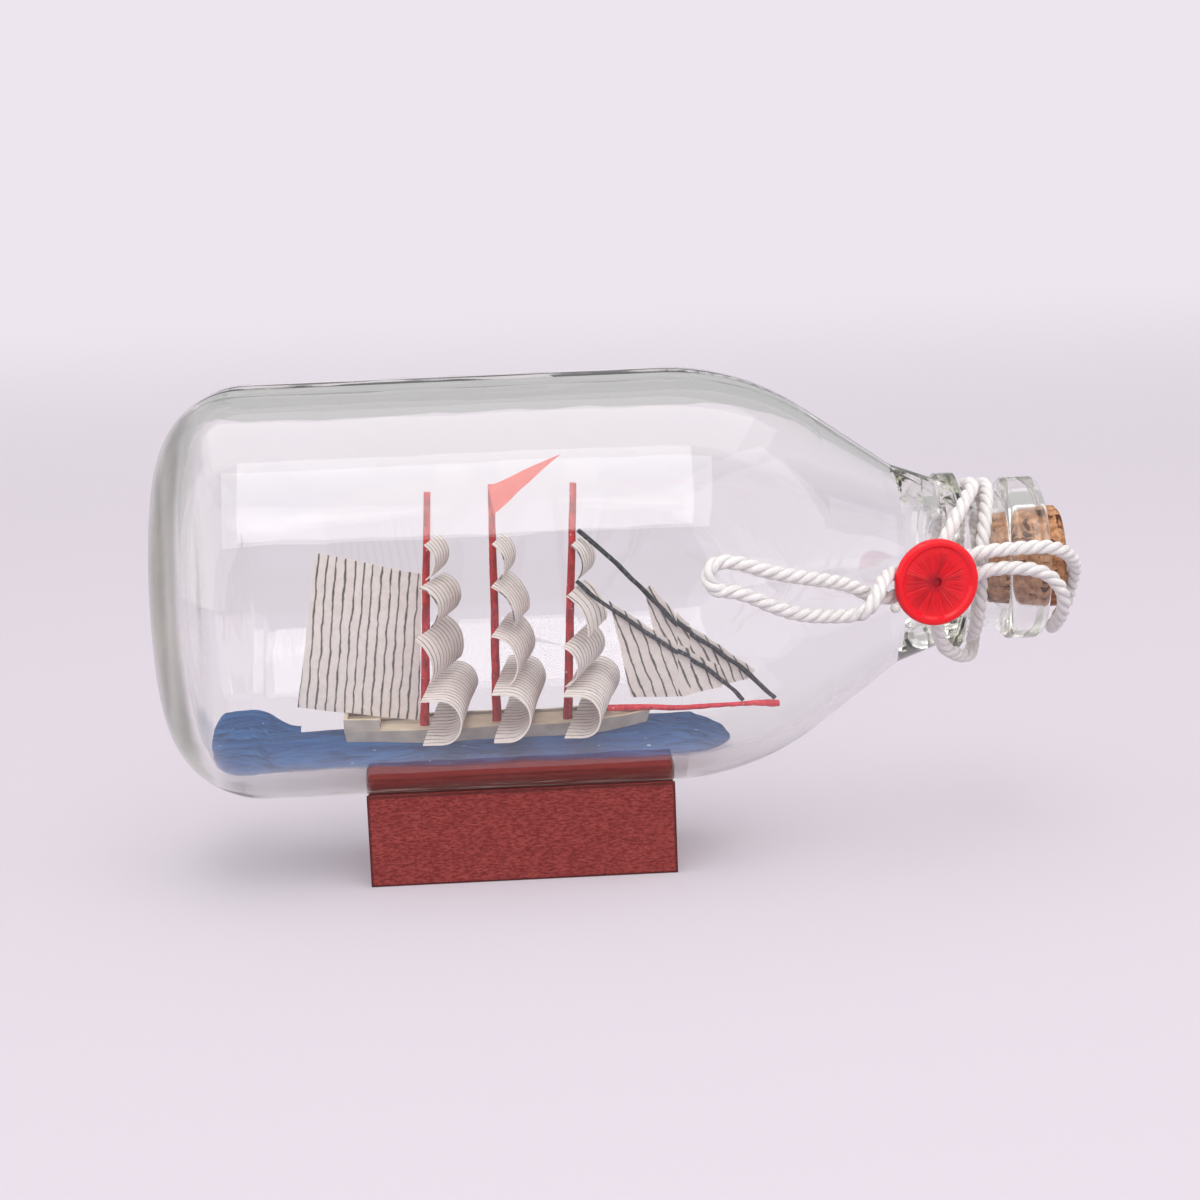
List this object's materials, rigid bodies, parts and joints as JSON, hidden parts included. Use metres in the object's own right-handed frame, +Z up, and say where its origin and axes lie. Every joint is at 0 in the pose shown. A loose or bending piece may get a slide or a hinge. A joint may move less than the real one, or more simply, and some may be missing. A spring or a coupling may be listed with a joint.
{
  "type": "ship in a bottle on a stand",
  "caption": "A corked glass flask lying on a wooden cradle, with a three-masted paper-sailed model ship on a painted sea inside; an ornament that stands on a shelf.",
  "frame": {"origin": "middle of the stand's flat underside", "axes": "+X along the bottle to its cork, +Z up, -Y the near side that the seal faces"},
  "size_m": [0.1482, 0.0691, 0.0809],
  "materials": {
    "glass": "clear, gloss, thick-walled",
    "cork": "natural cork, matte, dark pores",
    "stand_wood": "deep red fibre board, fine speckle, darker edges",
    "sea_paint": "blue modelling paste with white crests, wet gloss",
    "hull_wood": "sanded pale wood, greyed sides",
    "spar_wood": "thin stained twig",
    "mast_paint": "red-stained stick",
    "pennant_paper": "coloured paper",
    "sail_paper": "off-white paper with fine dark lines",
    "black_thread": "twisted black thread",
    "cotton_cord": "three-ply white cotton",
    "seal_wax": "bright red sealing wax",
    "dried_glue": "dried clear glue bead"
  },
  "bodies": {
    "stand": {"stand": "stand_wood"},
    "bottle": {"bottle": "glass", "cork": "cork", "sea": "sea_paint", "hull": "hull_wood", "bowsprit": "spar_wood", "mizzen_mast": "mast_paint", "main_mast": "mast_paint", "fore_mast": "mast_paint", "pennant": "pennant_paper", "spanker": "sail_paper", "mizzen_course": "sail_paper", "mizzen_topsail": "sail_paper", "mizzen_topgallant": "sail_paper", "mizzen_royal": "sail_paper", "main_course": "sail_paper", "main_topsail": "sail_paper", "main_topgallant": "sail_paper", "main_royal": "sail_paper", "fore_course": "sail_paper", "fore_topsail": "sail_paper", "fore_topgallant": "sail_paper", "fore_royal": "sail_paper", "inner_jib": "sail_paper", "outer_jib": "sail_paper", "inner_stay": "black_thread", "outer_stay": "black_thread", "neck_wrap": "cotton_cord", "cork_tie": "cotton_cord", "hanging_loop": "cotton_cord", "knot": "cotton_cord", "seal": "seal_wax", "glue": "dried_glue"}
  },
  "joints": [
    {"name": "bottle_lift", "type": "slide", "parent": "stand", "child": "bottle", "axis": [0, 0, 1], "range_m": [0, 0.08]}
  ]
}
